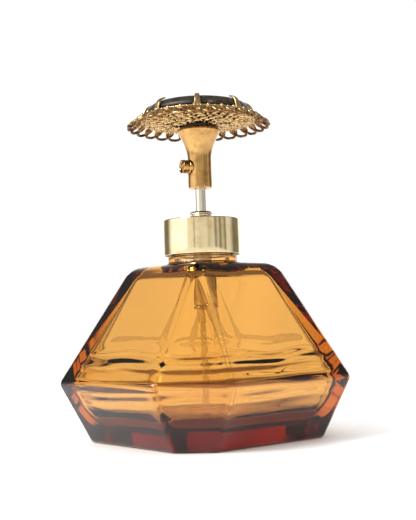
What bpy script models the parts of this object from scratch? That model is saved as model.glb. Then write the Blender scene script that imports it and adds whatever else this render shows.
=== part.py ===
"""Finger-pump perfume atomiser: a faceted glass bottle with a screwed brass pump head.

Metres, +Z up. The origin is the centre of the bottle's flat base, and the bottle, the
screw neck, the pump and the round ornament on top all share the Z axis. The bottle is a
square with its corners cut off, turned so that the cut corners face X and Y.
"""
import math

import bmesh
import bpy
from mathutils import Matrix, Vector

MM = 0.001
GAP = 0.3 * MM                      # clearance left between pieces that touch

# Bottle: the distance to a cut corner and half its width, at three levels
GIRDLE_Z, GIRDLE_REACH, GIRDLE_HALF = 20.3 * MM, 48.5 * MM, 11.9 * MM
BASE_REACH, BASE_HALF = 38.8 * MM, 6.6 * MM
SHOULDER_Z, SHOULDER_REACH = 59.2 * MM, 25.0 * MM
SHOULDER_ROUND = 3.6 * MM
GLASS_WALL = 5.3 * MM               # measured level, not square to the wall
FLOOR_Z, CEILING_Z = 8.0 * MM, 55.0 * MM
CAVITY_ROUND = 2.4 * MM

# Neck and its screw thread
RIM_Z, NECK_R, BORE_R = 69.6 * MM, 10.0 * MM, 8.0 * MM
BEAD_R, BEAD_TOP_Z = 12.0 * MM, 61.8 * MM
THREAD_PITCH = 3.0 * MM
NECK_THREAD_Z, NECK_THREAD_TURNS, NECK_THREAD_R = 64.2 * MM, 1.25, 0.8 * MM
CAP_THREAD_ROOT_R, CAP_THREAD_R = 11.1 * MM, 0.7 * MM

# Collar
COLLAR_R, COLLAR_BOTTOM_Z, COLLAR_RIM_Z = 13.5 * MM, 62.4 * MM, 74.7 * MM
COLLAR_DOME, COLLAR_WALL, COLLAR_EDGE = 1.45 * MM, 0.6 * MM, 0.7 * MM
FERRULE_R, FERRULE_TOP_Z = 4.25 * MM, 77.6 * MM
FERRULE_HOLE_R = 3.65 * MM

# Pump
FLANGE_R, FLANGE_TOP_Z, FLANGE_THICK = 9.6 * MM, 72.0 * MM, 0.8 * MM
CYLINDER_R, CHAMBER_R, CYLINDER_BOTTOM_Z = 3.2 * MM, 2.6 * MM, 43.7 * MM
STEM_R, STEM_TAIL_R, STEM_TOP_Z = 1.8 * MM, 1.3 * MM, 89.0 * MM
VALVE_SEAT_Z, INLET_BALL_R, INLET_BALL_Z = 45.15 * MM, 0.95 * MM, 46.28 * MM
OUTLET_SEAT_Z, OUTLET_BALL_R, OUTLET_BALL_Z = 72.6 * MM, 0.8 * MM, 73.5 * MM
DIP_TUBE_R, DIP_TUBE_BORE_R, DIP_TUBE_BOTTOM_Z = 1.2 * MM, 0.75 * MM, 9.5 * MM
RETURN_SPRING_Z = (49.2 * MM, 65.0 * MM)
OUTLET_SPRING_Z = (74.6 * MM, 79.0 * MM)

# Actuator and nozzle
TRUMPET_Z, TRUMPET_R, TRUMPET_TOP_Z = 85.7 * MM, 4.15 * MM, 106.4 * MM
TRUMPET_LIP_R = 7.5 * MM
NOZZLE_Z, NOZZLE_R, NOZZLE_FACE = 93.1 * MM, 2.35 * MM, 6.9 * MM
NOZZLE_AZIMUTH = math.radians(210.5)

# Ornament
WASHER_R, WASHER_THICK = 6.2 * MM, 1.1 * MM
PLATE_R, PLATE_CENTRE_Z, PLATE_RISE, PLATE_THICK = 20.2 * MM, 108.4 * MM, 1.5 * MM, 0.8 * MM
LOOP_COUNT, LOOP_CIRCLE_R, LOOP_R, LOOP_HOLE_R = 28, 22.4 * MM, 2.65 * MM, 1.45 * MM
LOOP_START = math.radians(2.3)
BORDER_INNER_R, BORDER_SLOPE = 20.5 * MM, 0.58
RIVET_R, RIVET_HOLE_R, RIVET_HEAD_R = 1.2 * MM, 1.5 * MM, 2.3 * MM
SETTING_R, SETTING_THICK = 19.3 * MM, 0.5 * MM
PRONG_COUNT, PRONG_WIDTH, PRONG_START = 8, 2.0 * MM, math.radians(-85)
STONE_R, STONE_Z, STONE_EDGE_TOP_Z, STONE_TOP_Z = 18.4 * MM, 111.15 * MM, 114.6 * MM, 116.3 * MM

MERGE = 0.00001                     # merge distance of every modifier that merges


def collection(name):
    made = bpy.data.collections.new(name)
    bpy.context.scene.collection.children.link(made)
    return made


def material(name, color, metallic, roughness, transmission=0.0):
    made = bpy.data.materials.new(name)
    made.use_nodes = True
    made.diffuse_color = (*color, 1.0)
    shader = made.node_tree.nodes["Principled BSDF"]
    shader.inputs["Base Color"].default_value = (*color, 1.0)
    shader.inputs["Metallic"].default_value = metallic
    shader.inputs["Roughness"].default_value = roughness
    shader.inputs["Transmission Weight"].default_value = transmission
    return made


def place(obj, group, paint=None, tool=False):
    """Link an object, give it its material, and hang it on its group's empty."""
    if tool:
        tools.objects.link(obj)
        obj.hide_render = True
        obj.display_type = "WIRE"
        return obj
    atomiser.objects.link(obj)
    obj.data.materials.append(paint)
    obj.parent = groups[group]
    return obj


def arc(centre, radius, start, end, steps):
    """Points (r, z) on a circle in the section plane; angles in degrees from +r."""
    points = []
    for i in range(steps + 1):
        a = math.radians(start + (end - start) * i / steps)
        points.append((centre[0] + radius * math.cos(a), centre[1] + radius * math.sin(a)))
    return points


def turned(name, profile, origin_z, group=None, paint=None, steps=24, closed=True, tool=False):
    """A Screw of (r, z) points that run top to bottom outside and bottom to top inside."""
    mesh = bpy.data.meshes.new(name)
    edges = [(i, i + 1) for i in range(len(profile) - 1)]
    if closed:
        edges.append((len(profile) - 1, 0))
    mesh.from_pydata([(r, 0.0, z - origin_z) for r, z in profile], edges, [])
    obj = bpy.data.objects.new(name, mesh)
    obj.location.z = origin_z
    screw = obj.modifiers.new("turn", "SCREW")
    screw.steps = screw.render_steps = steps
    screw.use_merge_vertices = True
    screw.merge_threshold = MERGE
    screw.use_smooth_shade = True
    return place(obj, group, paint, tool)


def ring(name, inner, outer, z0, z1, group, paint, steps=24):
    """A flat-faced ring."""
    return turned(name, [(outer, z1), (outer, z0), (inner, z0), (inner, z1)], z0, group, paint, steps)


def disc(name, radius, z0, z1, group=None, paint=None, steps=24, tool=False):
    """A solid round bar whose ends meet the axis."""
    profile = [(0.0, z1), (radius, z1), (radius, z0), (0.0, z0)]
    return turned(name, profile, z0, group, paint, steps, closed=False, tool=tool)


def ball(name, radius, z, group, paint):
    mesh = bpy.data.meshes.new(name)
    bm = bmesh.new()
    bmesh.ops.create_uvsphere(bm, u_segments=12, v_segments=6, radius=radius)
    bm.to_mesh(mesh)
    bm.free()
    mesh.shade_smooth()
    obj = bpy.data.objects.new(name, mesh)
    obj.location.z = z
    return place(obj, group, paint)


def boolean(target, other, operation):
    step = target.modifiers.new(other.name, "BOOLEAN")
    step.operation = operation
    step.solver = "EXACT"
    step.object = other


def poly_curve(name, points, depth, weights=None):
    """A round wire along points, as a curve object."""
    curve = bpy.data.curves.new(name, "CURVE")
    curve.dimensions = "3D"
    curve.bevel_depth = depth
    curve.bevel_resolution = 2
    curve.use_fill_caps = True
    spline = curve.splines.new("POLY")
    spline.points.add(len(points) - 1)
    for i, point in enumerate(points):
        spline.points[i].co = (*point, 1.0)
        spline.points[i].radius = weights[i] if weights else 1.0
    return bpy.data.objects.new(name, curve)


def helix(radius, z0, pitch, turns, per_turn, start=0.0):
    """Points of a right-handed helix that starts at a given angle, in turns."""
    points = []
    steps = round(turns * per_turn)
    for i in range(steps + 1):
        t = i / per_turn
        a = 2 * math.pi * (start + t)
        points.append((radius * math.cos(a), radius * math.sin(a), z0 + pitch * t))
    return points


def as_mesh(obj, name, tool=True):
    """Turn a curve object into a welded mesh object."""
    tools.objects.link(obj)
    bpy.context.view_layer.update()
    evaluated = obj.evaluated_get(bpy.context.evaluated_depsgraph_get())
    mesh = bpy.data.meshes.new_from_object(evaluated)
    bm = bmesh.new()
    bm.from_mesh(mesh)
    bmesh.ops.remove_doubles(bm, verts=bm.verts, dist=MERGE)
    bmesh.ops.recalc_face_normals(bm, faces=bm.faces)
    bm.to_mesh(mesh)
    bm.free()
    made = bpy.data.objects.new(name, mesh)
    made.matrix_world = obj.matrix_world
    bpy.data.objects.remove(obj)
    return place(made, None, tool=True) if tool else made


def thread_bead(name, radius, z0, turns, start, depth):
    """A rounded thread that runs out to nothing at both ends, as a mesh tool."""
    per_turn = 24
    points = helix(radius, z0, THREAD_PITCH, turns, per_turn, start)
    run_out = 3
    weights = [min(1.0, 0.4 + 0.6 * min(i, len(points) - 1 - i) / run_out) for i in range(len(points))]
    return as_mesh(poly_curve(name + "_curve", points, depth, weights), name)


# The faceted glass ---------------------------------------------------------------------

def octagon(reach, half, z):
    """The corners of a square with cut corners that face X and Y."""
    corners = []
    for k in range(4):
        turn = Matrix.Rotation(k * math.pi / 2, 3, "Z")
        corners.append(turn @ Vector((reach, -half, z)))
        corners.append(turn @ Vector((reach, half, z)))
    return corners


def outer_section(z):
    """Reach and half width of the cut corner on the bottle's outside at a level."""
    if z <= GIRDLE_Z:
        t = z / GIRDLE_Z
        return BASE_REACH + (GIRDLE_REACH - BASE_REACH) * t, BASE_HALF + (GIRDLE_HALF - BASE_HALF) * t
    t = (z - GIRDLE_Z) / (SHOULDER_Z - GIRDLE_Z)
    return GIRDLE_REACH + (SHOULDER_REACH - GIRDLE_REACH) * t, GIRDLE_HALF * (1 - t)


def inner_section(z):
    """The same on the cavity, one wall thickness in from every facet."""
    reach, half = outer_section(z)
    face = (reach + half) / math.sqrt(2) - GLASS_WALL
    reach -= GLASS_WALL
    return min(reach, math.sqrt(2) * face), max(0.0, math.sqrt(2) * face - reach)


def faceted_solid(name, sections, round_width, weights, tool=False):
    """A loft through octagons at the given levels, its edges rounded by weight.

    weights holds the ring edges' weights, level by level, and then the upright edges'.
    """
    bm = bmesh.new()
    weight = bm.edges.layers.float.new("bevel_weight_edge")
    rings = [[bm.verts.new(p) for p in octagon(*size, z)] for z, size in sections]
    for low, high in zip(rings, rings[1:]):
        for i in range(8):
            j = (i + 1) % 8
            bm.faces.new((low[i], low[j], high[j], high[i]))
    bm.faces.new(list(reversed(rings[0])))
    bm.faces.new(rings[-1])
    bmesh.ops.remove_doubles(bm, verts=bm.verts, dist=MERGE)
    for edge in bm.edges:
        levels = [min(range(len(sections)), key=lambda i: abs(sections[i][0] - v.co.z)) for v in edge.verts]
        edge[weight] = weights[levels[0]] if levels[0] == levels[1] else weights[-1]
    mesh = bpy.data.meshes.new(name)
    bm.to_mesh(mesh)
    bm.free()
    obj = bpy.data.objects.new(name, mesh)
    bevel = obj.modifiers.new("edges", "BEVEL")
    bevel.limit_method = "WEIGHT"
    bevel.width = round_width
    bevel.segments = 3
    return place(obj, None, tool=True) if tool else obj


def glass_bottle():
    levels = (0.0, GIRDLE_Z, SHOULDER_Z)
    outer = faceted_solid("glass_bottle", [(z, outer_section(z)) for z in levels],
                          SHOULDER_ROUND, (0.35, 0.35, 1.0, 0.3))
    place(outer, "bottle", amber_glass)
    levels = (FLOOR_Z, GIRDLE_Z, CEILING_Z)
    cavity = faceted_solid("cavity_tool", [(z, inner_section(z)) for z in levels],
                           CAVITY_ROUND, (1.0, 1.0, 1.0, 1.0), tool=True)

    lip = 0.5 * MM
    neck_profile = [(0.0, RIM_Z), (NECK_R - lip, RIM_Z), (NECK_R, RIM_Z - lip), (NECK_R, BEAD_TOP_Z + lip)]
    neck_profile += [(BEAD_R - lip, BEAD_TOP_Z), (BEAD_R, BEAD_TOP_Z - lip)]
    neck_profile += arc((BEAD_R + 1.4 * MM, SHOULDER_Z + 1.4 * MM), 1.4 * MM, 180, 270, 3)
    neck_profile += [(BEAD_R + 1.4 * MM, SHOULDER_Z - lip), (0.0, SHOULDER_Z - lip)]
    neck = turned("neck_tool", neck_profile, SHOULDER_Z, steps=32, closed=False, tool=True)
    thread = thread_bead("neck_thread_tool", NECK_R, NECK_THREAD_Z, NECK_THREAD_TURNS, 0.0, NECK_THREAD_R)
    bore = disc("bore_tool", BORE_R, CEILING_Z - 3 * MM, RIM_Z + 1 * MM, steps=32, tool=True)
    boolean(outer, neck, "UNION")
    boolean(outer, thread, "UNION")
    boolean(outer, cavity, "DIFFERENCE")
    boolean(outer, bore, "DIFFERENCE")


# The screwed collar --------------------------------------------------------------------

def collar_outline(inset):
    """The collar's outside from its hole to its bottom edge, moved in by inset."""
    edge = COLLAR_EDGE
    hole = FERRULE_HOLE_R
    rim = COLLAR_R - edge
    points = []
    for i in range(4):
        r = hole + (rim - hole) * i / 3
        points.append((r, COLLAR_RIM_Z + COLLAR_DOME * (1 - (r / rim) ** 2) - inset))
    points += arc((COLLAR_R - edge, COLLAR_RIM_Z - edge), edge - inset, 60, 0, 2)
    points.append((COLLAR_R - inset, COLLAR_BOTTOM_Z))
    return points


def collar_shell():
    """Outer skin and inner skin of one closed outline."""
    profile = collar_outline(0.0) + list(reversed(collar_outline(COLLAR_WALL)))
    turned("collar_shell", profile, COLLAR_BOTTOM_Z, "collar", brass, steps=36)


def collar_liner():
    outer = COLLAR_R - COLLAR_WALL - GAP
    bottom, top = COLLAR_BOTTOM_Z + 0.4 * MM, 73.8 * MM
    web, hole, cut = 0.8 * MM, 6.0 * MM, 0.8 * MM
    root = CAP_THREAD_ROOT_R
    profile = [(hole, top), (outer - cut, top), (outer, top - cut), (outer, bottom)]
    profile += [(root, bottom), (root, top - web), (hole, top - web)]
    liner = turned("collar_liner", profile, bottom, "collar", black_plastic, steps=32)
    start = 0.5                     # in turns along the neck's thread, and half a pitch under it
    bead_z = NECK_THREAD_Z + THREAD_PITCH * (start - 0.5)
    bead = thread_bead("liner_thread_tool", root, bead_z, 1.0, start, CAP_THREAD_R)
    boolean(liner, bead, "UNION")


def stem_ferrule():
    hole, spigot, cut = 2.2 * MM, FERRULE_HOLE_R - GAP, 0.25 * MM
    shelf = COLLAR_RIM_Z + COLLAR_DOME + 0.25 * MM
    profile = [(hole, FERRULE_TOP_Z), (FERRULE_R - cut, FERRULE_TOP_Z), (FERRULE_R, FERRULE_TOP_Z - cut)]
    profile += [(FERRULE_R, shelf), (spigot, shelf), (spigot, 74.5 * MM), (hole, 74.5 * MM)]
    turned("stem_ferrule", profile, 74.5 * MM, "collar", steel, steps=32)


# The pump -------------------------------------------------------------------------------

def pump_cylinder():
    low = FLANGE_TOP_Z - FLANGE_THICK
    profile = [(CHAMBER_R, FLANGE_TOP_Z), (FLANGE_R, FLANGE_TOP_Z), (FLANGE_R, low)]
    profile += [(CYLINDER_R + 0.6 * MM, low), (CYLINDER_R, low - 0.6 * MM)]
    profile += [(CYLINDER_R, CYLINDER_BOTTOM_Z), (CHAMBER_R, CYLINDER_BOTTOM_Z)]
    turned("pump_cylinder", profile, low, "pump", nickel, steps=32)


def foot_valve():
    """Plug, flange and nipple in one piece, with the inlet seat and the dip tube's socket."""
    plug, flange, nipple = CHAMBER_R - 0.25 * MM, CYLINDER_R, 1.9 * MM
    socket = DIP_TUBE_R + 0.25 * MM
    top, shelf, low = 47.8 * MM, CYLINDER_BOTTOM_Z - GAP, 42.6 * MM
    cage, throat = 1.35 * MM, 0.5 * MM
    profile = [(cage, top), (plug, top), (plug, shelf), (flange, shelf), (flange, low)]
    profile += [(nipple + 0.2 * MM, low), (nipple, 38.0 * MM), (socket, 38.0 * MM), (socket, 42.0 * MM)]
    profile += [(throat, 42.0 * MM), (throat, VALVE_SEAT_Z), (cage, VALVE_SEAT_Z + cage - throat)]
    turned("foot_valve", profile, shelf, "pump", nickel, steps=24)


def plunger_stem():
    """Hollow stem: a thin tail for the piston, and the outlet ball's seat above it."""
    throat, chamber, outlet = 0.5 * MM, 1.1 * MM, 0.6 * MM
    shoulder, tail, spring_stop = 72.2 * MM, 66.4 * MM, OUTLET_SPRING_Z[1] + GAP
    profile = [(outlet, STEM_TOP_Z), (STEM_R, STEM_TOP_Z), (STEM_R, shoulder), (STEM_TAIL_R, shoulder)]
    profile += [(STEM_TAIL_R, tail), (throat, tail), (throat, OUTLET_SEAT_Z)]
    profile += [(chamber, OUTLET_SEAT_Z + chamber - throat), (chamber, spring_stop), (outlet, spring_stop)]
    turned("plunger_stem", profile, tail, "plunger", steel, steps=24)


def coil_spring(name, span, radius, wire, turns, per_turn, group):
    pitch = (span[1] - span[0] - 2 * wire) / turns
    points = helix(radius, wire, pitch, turns, per_turn)
    obj = poly_curve(name, points, wire)
    obj.location.z = span[0]
    place(obj, group, spring_steel)


def pump():
    pump_cylinder()
    foot_valve()
    inner = CHAMBER_R - 0.2 * MM
    ring("dip_tube", DIP_TUBE_BORE_R, DIP_TUBE_R, DIP_TUBE_BOTTOM_Z, 41.7 * MM, "pump", clear_plastic, 16)
    ball("inlet_ball", INLET_BALL_R, INLET_BALL_Z, "inlet_ball", steel)
    ring("ball_retainer", 0.6 * MM, inner, 48.1 * MM, 48.9 * MM, "pump", nickel, 20)
    coil_spring("return_spring", RETURN_SPRING_Z, 1.95 * MM, 0.25 * MM, 8, 9, "pump")
    ring("neck_gasket", BORE_R + 0.2 * MM, 9.8 * MM, RIM_Z + GAP, 70.9 * MM, "seal", black_rubber, 32)
    ring("stem_seal", STEM_R + 0.25 * MM, 4.2 * MM, FLANGE_TOP_Z + GAP, 73.0 * MM, "pump", black_rubber, 20)
    ring("stem_guide", STEM_R + GAP, 5.6 * MM, 73.3 * MM, 74.1 * MM, "pump", nickel, 24)
    ring("thrust_washer", 6.0 * MM, 9.4 * MM, FLANGE_TOP_Z + GAP, 72.7 * MM, "collar", clear_plastic, 32)

    ring("spring_seat", 0.8 * MM, inner, 65.3 * MM, 66.1 * MM, "spring_seat", nickel, 20)
    plunger_stem()
    bore = STEM_TAIL_R + 0.2 * MM
    ring("piston", bore, inner, 67.1 * MM, 70.1 * MM, "plunger", nickel, 20)
    lip, top, low = 0.5 * MM, 71.9 * MM, 70.4 * MM
    seal = [(bore, top - lip), (inner - 0.35 * MM, top - lip), (inner, top), (inner, low), (bore, low)]
    turned("piston_seal", seal, low, "plunger", black_rubber, steps=20)
    ball("outlet_ball", OUTLET_BALL_R, OUTLET_BALL_Z, "outlet_ball", steel)
    coil_spring("outlet_spring", OUTLET_SPRING_Z, 0.75 * MM, 0.12 * MM, 4, 8, "plunger")


# The actuator and its nozzle ------------------------------------------------------------

def trumpet_outline():
    """Straight up to half height, then a hollow flare that ends in a short lip."""
    points = [(TRUMPET_LIP_R - 0.2 * MM, TRUMPET_TOP_Z), (TRUMPET_LIP_R, TRUMPET_TOP_Z - 0.2 * MM)]
    flare_top, flare_z, power, steps = TRUMPET_TOP_Z - 0.9 * MM, 10.3 * MM, 2.6, 6
    points.append((TRUMPET_LIP_R, flare_top))
    for i in range(1, steps + 1):
        t = 1 - i / steps
        r = TRUMPET_R + (TRUMPET_LIP_R - 0.2 * MM - TRUMPET_R) * t ** power
        points.append((r, TRUMPET_Z + flare_z + (flare_top - TRUMPET_Z - flare_z) * t))
    points += [(TRUMPET_R, TRUMPET_Z + 0.2 * MM), (TRUMPET_R - 0.2 * MM, TRUMPET_Z)]
    return points


def actuator_trumpet():
    socket, channel = STEM_R + GAP, 0.8 * MM
    socket_top, channel_top, rivet_floor = STEM_TOP_Z + GAP, NOZZLE_Z + 0.9 * MM, 100.5 * MM
    profile = [(0.0, rivet_floor), (RIVET_HOLE_R, rivet_floor), (RIVET_HOLE_R, TRUMPET_TOP_Z)]
    profile += trumpet_outline()
    profile += [(socket, TRUMPET_Z), (socket, socket_top), (channel, socket_top)]
    profile += [(channel, channel_top), (0.0, channel_top)]
    trumpet = turned("actuator_trumpet", profile, TRUMPET_Z, "plunger", brass, steps=28, closed=False)

    pocket, passage, reach = NOZZLE_R + 0.25 * MM, 0.7 * MM, 12 * MM
    back = 2.1 * MM
    cutter = [(0.0, reach), (pocket, reach), (pocket, back), (passage, back), (passage, 0.0), (0.0, 0.0)]
    side_bore = turned("nozzle_bore_tool", cutter, 0.0, steps=24, closed=False, tool=True)
    aim(side_bore)
    boolean(trumpet, side_bore, "DIFFERENCE")


def aim(obj):
    """Turn a piece made along +Z so that it points out of the nozzle's bore."""
    along = Vector((math.cos(NOZZLE_AZIMUTH), math.sin(NOZZLE_AZIMUTH), 0.0))
    start = obj.location.z
    obj.rotation_euler = along.to_track_quat("Z", "Y").to_euler()
    obj.location = along * start + Vector((0.0, 0.0, NOZZLE_Z))


def nozzle():
    back, face, bore, inlet = 2.4 * MM, NOZZLE_FACE, 1.65 * MM, 0.6 * MM
    profile = [(bore, face), (NOZZLE_R - 0.25 * MM, face), (NOZZLE_R, face - 0.25 * MM), (NOZZLE_R, back)]
    profile += [(inlet, back), (inlet, 3.4 * MM), (bore, 3.4 * MM)]
    aim(turned("nozzle_barrel", profile, back, "plunger", brass, steps=24))

    core = bore - GAP
    profile = [(0.0, 5.6 * MM), (0.6 * MM, 5.6 * MM), (0.6 * MM, 5.2 * MM), (core, 5.2 * MM)]
    profile += [(core, 3.7 * MM), (0.0, 3.7 * MM)]
    aim(turned("swirl_core", profile, 3.7 * MM, "plunger", nickel, steps=16, closed=False))

    orifice = 0.25 * MM
    profile = [(orifice, 6.4 * MM), (0.9 * MM, 6.7 * MM), (core, 6.7 * MM)]
    profile += [(core, 5.9 * MM), (orifice, 5.9 * MM)]
    aim(turned("nozzle_jet", profile, 5.9 * MM, "plunger", brass, steps=20))


# The ornament ---------------------------------------------------------------------------

def plate_level(r):
    """Height of the ornament's middle surface: a dish inside, a skirt that falls outside."""
    if r <= PLATE_R:
        return PLATE_CENTRE_Z + PLATE_RISE * (r / PLATE_R) ** 2
    return PLATE_CENTRE_Z + PLATE_RISE - BORDER_SLOPE * (r - PLATE_R)


def filigree_plate():
    radii = [RIVET_HOLE_R + (PLATE_R - RIVET_HOLE_R) * i / 4 for i in range(5)]
    half = PLATE_THICK / 2
    profile = [(r, plate_level(r) + half) for r in radii]
    profile += [(r, plate_level(r) - half) for r in reversed(radii)]
    turned("filigree_plate", profile, PLATE_CENTRE_Z, "plunger", gilt, steps=40)


def circle_points(centre, radius, count):
    return [(centre[0] + radius * math.cos(2 * math.pi * i / count),
             centre[1] + radius * math.sin(2 * math.pi * i / count)) for i in range(count)]


def flat_outline(name, outlines, thickness):
    """A flat 2D curve with holes, extruded both ways from its plane."""
    curve = bpy.data.curves.new(name, "CURVE")
    curve.dimensions = "2D"
    curve.fill_mode = "BOTH"
    curve.extrude = thickness / 2
    for outline in outlines:
        spline = curve.splines.new("POLY")
        spline.points.add(len(outline) - 1)
        for i, (x, y) in enumerate(outline):
            spline.points[i].co = (x, y, 0.0, 1.0)
        spline.use_cyclic_u = True
    return bpy.data.objects.new(name, curve)


def scalloped_border():
    """A ring of touching round loops, each with an eye, that slopes down outwards."""
    half_pitch = math.pi / LOOP_COUNT
    meet = LOOP_CIRCLE_R * math.cos(half_pitch)
    meet += math.sqrt(LOOP_R ** 2 - (LOOP_CIRCLE_R * math.sin(half_pitch)) ** 2)
    sweep = math.atan2(meet * math.sin(half_pitch), meet * math.cos(half_pitch) - LOOP_CIRCLE_R)
    edge, eyes, arc_steps = [], [], 8
    for k in range(LOOP_COUNT):
        a = LOOP_START + 2 * math.pi * k / LOOP_COUNT
        centre = (LOOP_CIRCLE_R * math.cos(a), LOOP_CIRCLE_R * math.sin(a))
        for i in range(arc_steps):
            b = a - sweep + 2 * sweep * i / arc_steps
            edge.append((centre[0] + LOOP_R * math.cos(b), centre[1] + LOOP_R * math.sin(b)))
        eyes.append(circle_points(centre, LOOP_HOLE_R, 8))
    inside = circle_points((0.0, 0.0), BORDER_INNER_R, 80)
    flat = flat_outline("border_curve", [edge, inside] + eyes, PLATE_THICK)
    border = as_mesh(flat, "scalloped_border", tool=False)
    for vertex in border.data.vertices:
        vertex.co.z += plate_level(vertex.co.xy.length)
    place(border, "plunger", gilt)


def prong_tool(index):
    """A prong's side view, extruded to its width and turned to its place round the stone."""
    wall, inner = 0.9 * MM, STONE_R + 0.35 * MM
    outer, edge = inner + wall, STONE_EDGE_TOP_Z
    foot = setting_level(inner) + 0.1 * MM
    side = [(inner - 0.7 * MM, foot), (outer, foot), (outer, edge + 0.4 * MM)]
    side += [(outer - 0.6 * MM, edge + 1.1 * MM), (STONE_R - 1.1 * MM, edge + 1.3 * MM)]
    side += [(STONE_R - 1.2 * MM, edge + 0.75 * MM), (inner - 0.5 * MM, edge + 0.45 * MM)]
    side += [(inner, edge - 0.1 * MM), (inner, foot + 0.6 * MM)]
    flat = flat_outline("prong_curve", [side], PRONG_WIDTH)
    turn = PRONG_START + 2 * math.pi * index / PRONG_COUNT
    flat.matrix_world = Matrix.Rotation(turn, 4, "Z") @ Matrix.Rotation(math.pi / 2, 4, "X")
    return as_mesh(flat, f"prong_tool_{index + 1}")


def setting_level(r):
    """Underside of the cup that holds the stone, a little above the dish."""
    return plate_level(r) + PLATE_THICK / 2 + GAP


def stone_setting():
    """A thin cup that follows the dish, and the prongs that hold the stone."""
    steps = 4
    hole = RIVET_HEAD_R + 0.25 * MM
    radii = [hole + (SETTING_R - hole) * i / steps for i in range(steps + 1)]
    profile = [(r, setting_level(r) + SETTING_THICK) for r in radii]
    profile += [(r, setting_level(r)) for r in reversed(radii)]
    profile.append((RIVET_HOLE_R, setting_level(RIVET_HOLE_R)))
    setting = turned("stone_setting", profile, setting_level(0.0), "plunger", gilt, steps=40)
    for index in range(PRONG_COUNT):
        boolean(setting, prong_tool(index), "UNION")


def setting_rivet():
    head_low = setting_level(0.0) + 0.1 * MM
    head_top = setting_level(0.0) + SETTING_THICK
    profile = [(0.0, head_top), (RIVET_HEAD_R, head_top), (RIVET_R, head_low)]
    profile += [(RIVET_R, 101.0 * MM), (0.0, 101.0 * MM)]
    turned("setting_rivet", profile, head_top, "plunger", brass, steps=20, closed=False)


def stone_cabochon():
    crown, steps = STONE_R - 1.0 * MM, 4
    profile = []
    for i in range(steps + 1):
        r = crown * i / steps
        profile.append((r, STONE_EDGE_TOP_Z + (STONE_TOP_Z - STONE_EDGE_TOP_Z) * (1 - (r / crown) ** 2)))
    profile += [(STONE_R - 0.3 * MM, STONE_EDGE_TOP_Z - 0.3 * MM), (STONE_R, STONE_EDGE_TOP_Z - 0.9 * MM)]
    profile += [(STONE_R, STONE_Z + 0.4 * MM), (STONE_R - 0.4 * MM, STONE_Z), (0.0, STONE_Z)]
    turned("stone_cabochon", profile, STONE_Z, "plunger", black_stone, steps=40, closed=False)


def ornament():
    low = TRUMPET_TOP_Z + 0.25 * MM
    ring("top_washer", RIVET_HOLE_R, WASHER_R, low, low + WASHER_THICK, "plunger", black_plastic, 32)
    filigree_plate()
    scalloped_border()
    stone_setting()
    setting_rivet()
    stone_cabochon()


for old in list(bpy.data.objects):
    bpy.data.objects.remove(old)

atomiser = collection("perfume_atomiser")
tools = collection("modelling_tools")

amber_glass = material("amber_glass", (0.95, 0.50, 0.10), 0.0, 0.05, transmission=1.0)
brass = material("brass", (0.72, 0.52, 0.22), 1.0, 0.22)
gilt = material("gilt_filigree", (0.50, 0.31, 0.13), 1.0, 0.38)
steel = material("steel", (0.72, 0.68, 0.60), 1.0, 0.18)
nickel = material("nickel_plate", (0.62, 0.58, 0.52), 1.0, 0.25)
spring_steel = material("spring_steel", (0.50, 0.50, 0.50), 1.0, 0.30)
black_plastic = material("black_plastic", (0.02, 0.02, 0.02), 0.0, 0.35)
black_rubber = material("black_rubber", (0.015, 0.015, 0.015), 0.0, 0.60)
clear_plastic = material("clear_plastic", (0.85, 0.80, 0.70), 0.0, 0.30, transmission=0.5)
black_stone = material("black_stone", (0.03, 0.025, 0.02), 0.0, 0.08)

groups = {}
chain = (("bottle", None), ("seal", "bottle"), ("pump", "seal"), ("collar", "pump"),
         ("spring_seat", "pump"), ("plunger", "spring_seat"), ("inlet_ball", "pump"),
         ("outlet_ball", "plunger"))
for group_name, parent_name in chain:
    empty = bpy.data.objects.new(group_name + "_axis", None)
    atomiser.objects.link(empty)
    empty.parent = groups.get(parent_name)
    groups[group_name] = empty

glass_bottle()
collar_shell()
collar_liner()
stem_ferrule()
pump()
actuator_trumpet()
nozzle()
ornament()
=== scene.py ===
"""Finger-pump perfume atomiser: the looks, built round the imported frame."""
import math

import bmesh
import bpy
from mathutils import Matrix, Vector, noise


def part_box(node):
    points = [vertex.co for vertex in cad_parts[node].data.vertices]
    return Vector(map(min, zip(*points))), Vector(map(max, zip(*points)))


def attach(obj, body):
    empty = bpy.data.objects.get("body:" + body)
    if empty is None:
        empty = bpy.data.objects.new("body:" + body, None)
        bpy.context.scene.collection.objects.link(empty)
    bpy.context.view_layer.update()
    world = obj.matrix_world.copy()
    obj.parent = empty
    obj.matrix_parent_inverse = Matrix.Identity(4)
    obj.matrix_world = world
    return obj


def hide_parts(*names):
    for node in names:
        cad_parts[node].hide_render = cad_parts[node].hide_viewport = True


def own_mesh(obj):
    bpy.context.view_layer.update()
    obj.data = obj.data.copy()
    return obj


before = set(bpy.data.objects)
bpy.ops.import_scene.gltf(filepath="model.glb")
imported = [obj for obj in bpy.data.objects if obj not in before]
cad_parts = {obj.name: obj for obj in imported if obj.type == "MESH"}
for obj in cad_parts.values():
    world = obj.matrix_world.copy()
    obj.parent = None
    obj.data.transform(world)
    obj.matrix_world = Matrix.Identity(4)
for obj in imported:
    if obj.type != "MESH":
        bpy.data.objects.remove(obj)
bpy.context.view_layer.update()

MM = 0.001
GAP = 0.3 * MM

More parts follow.
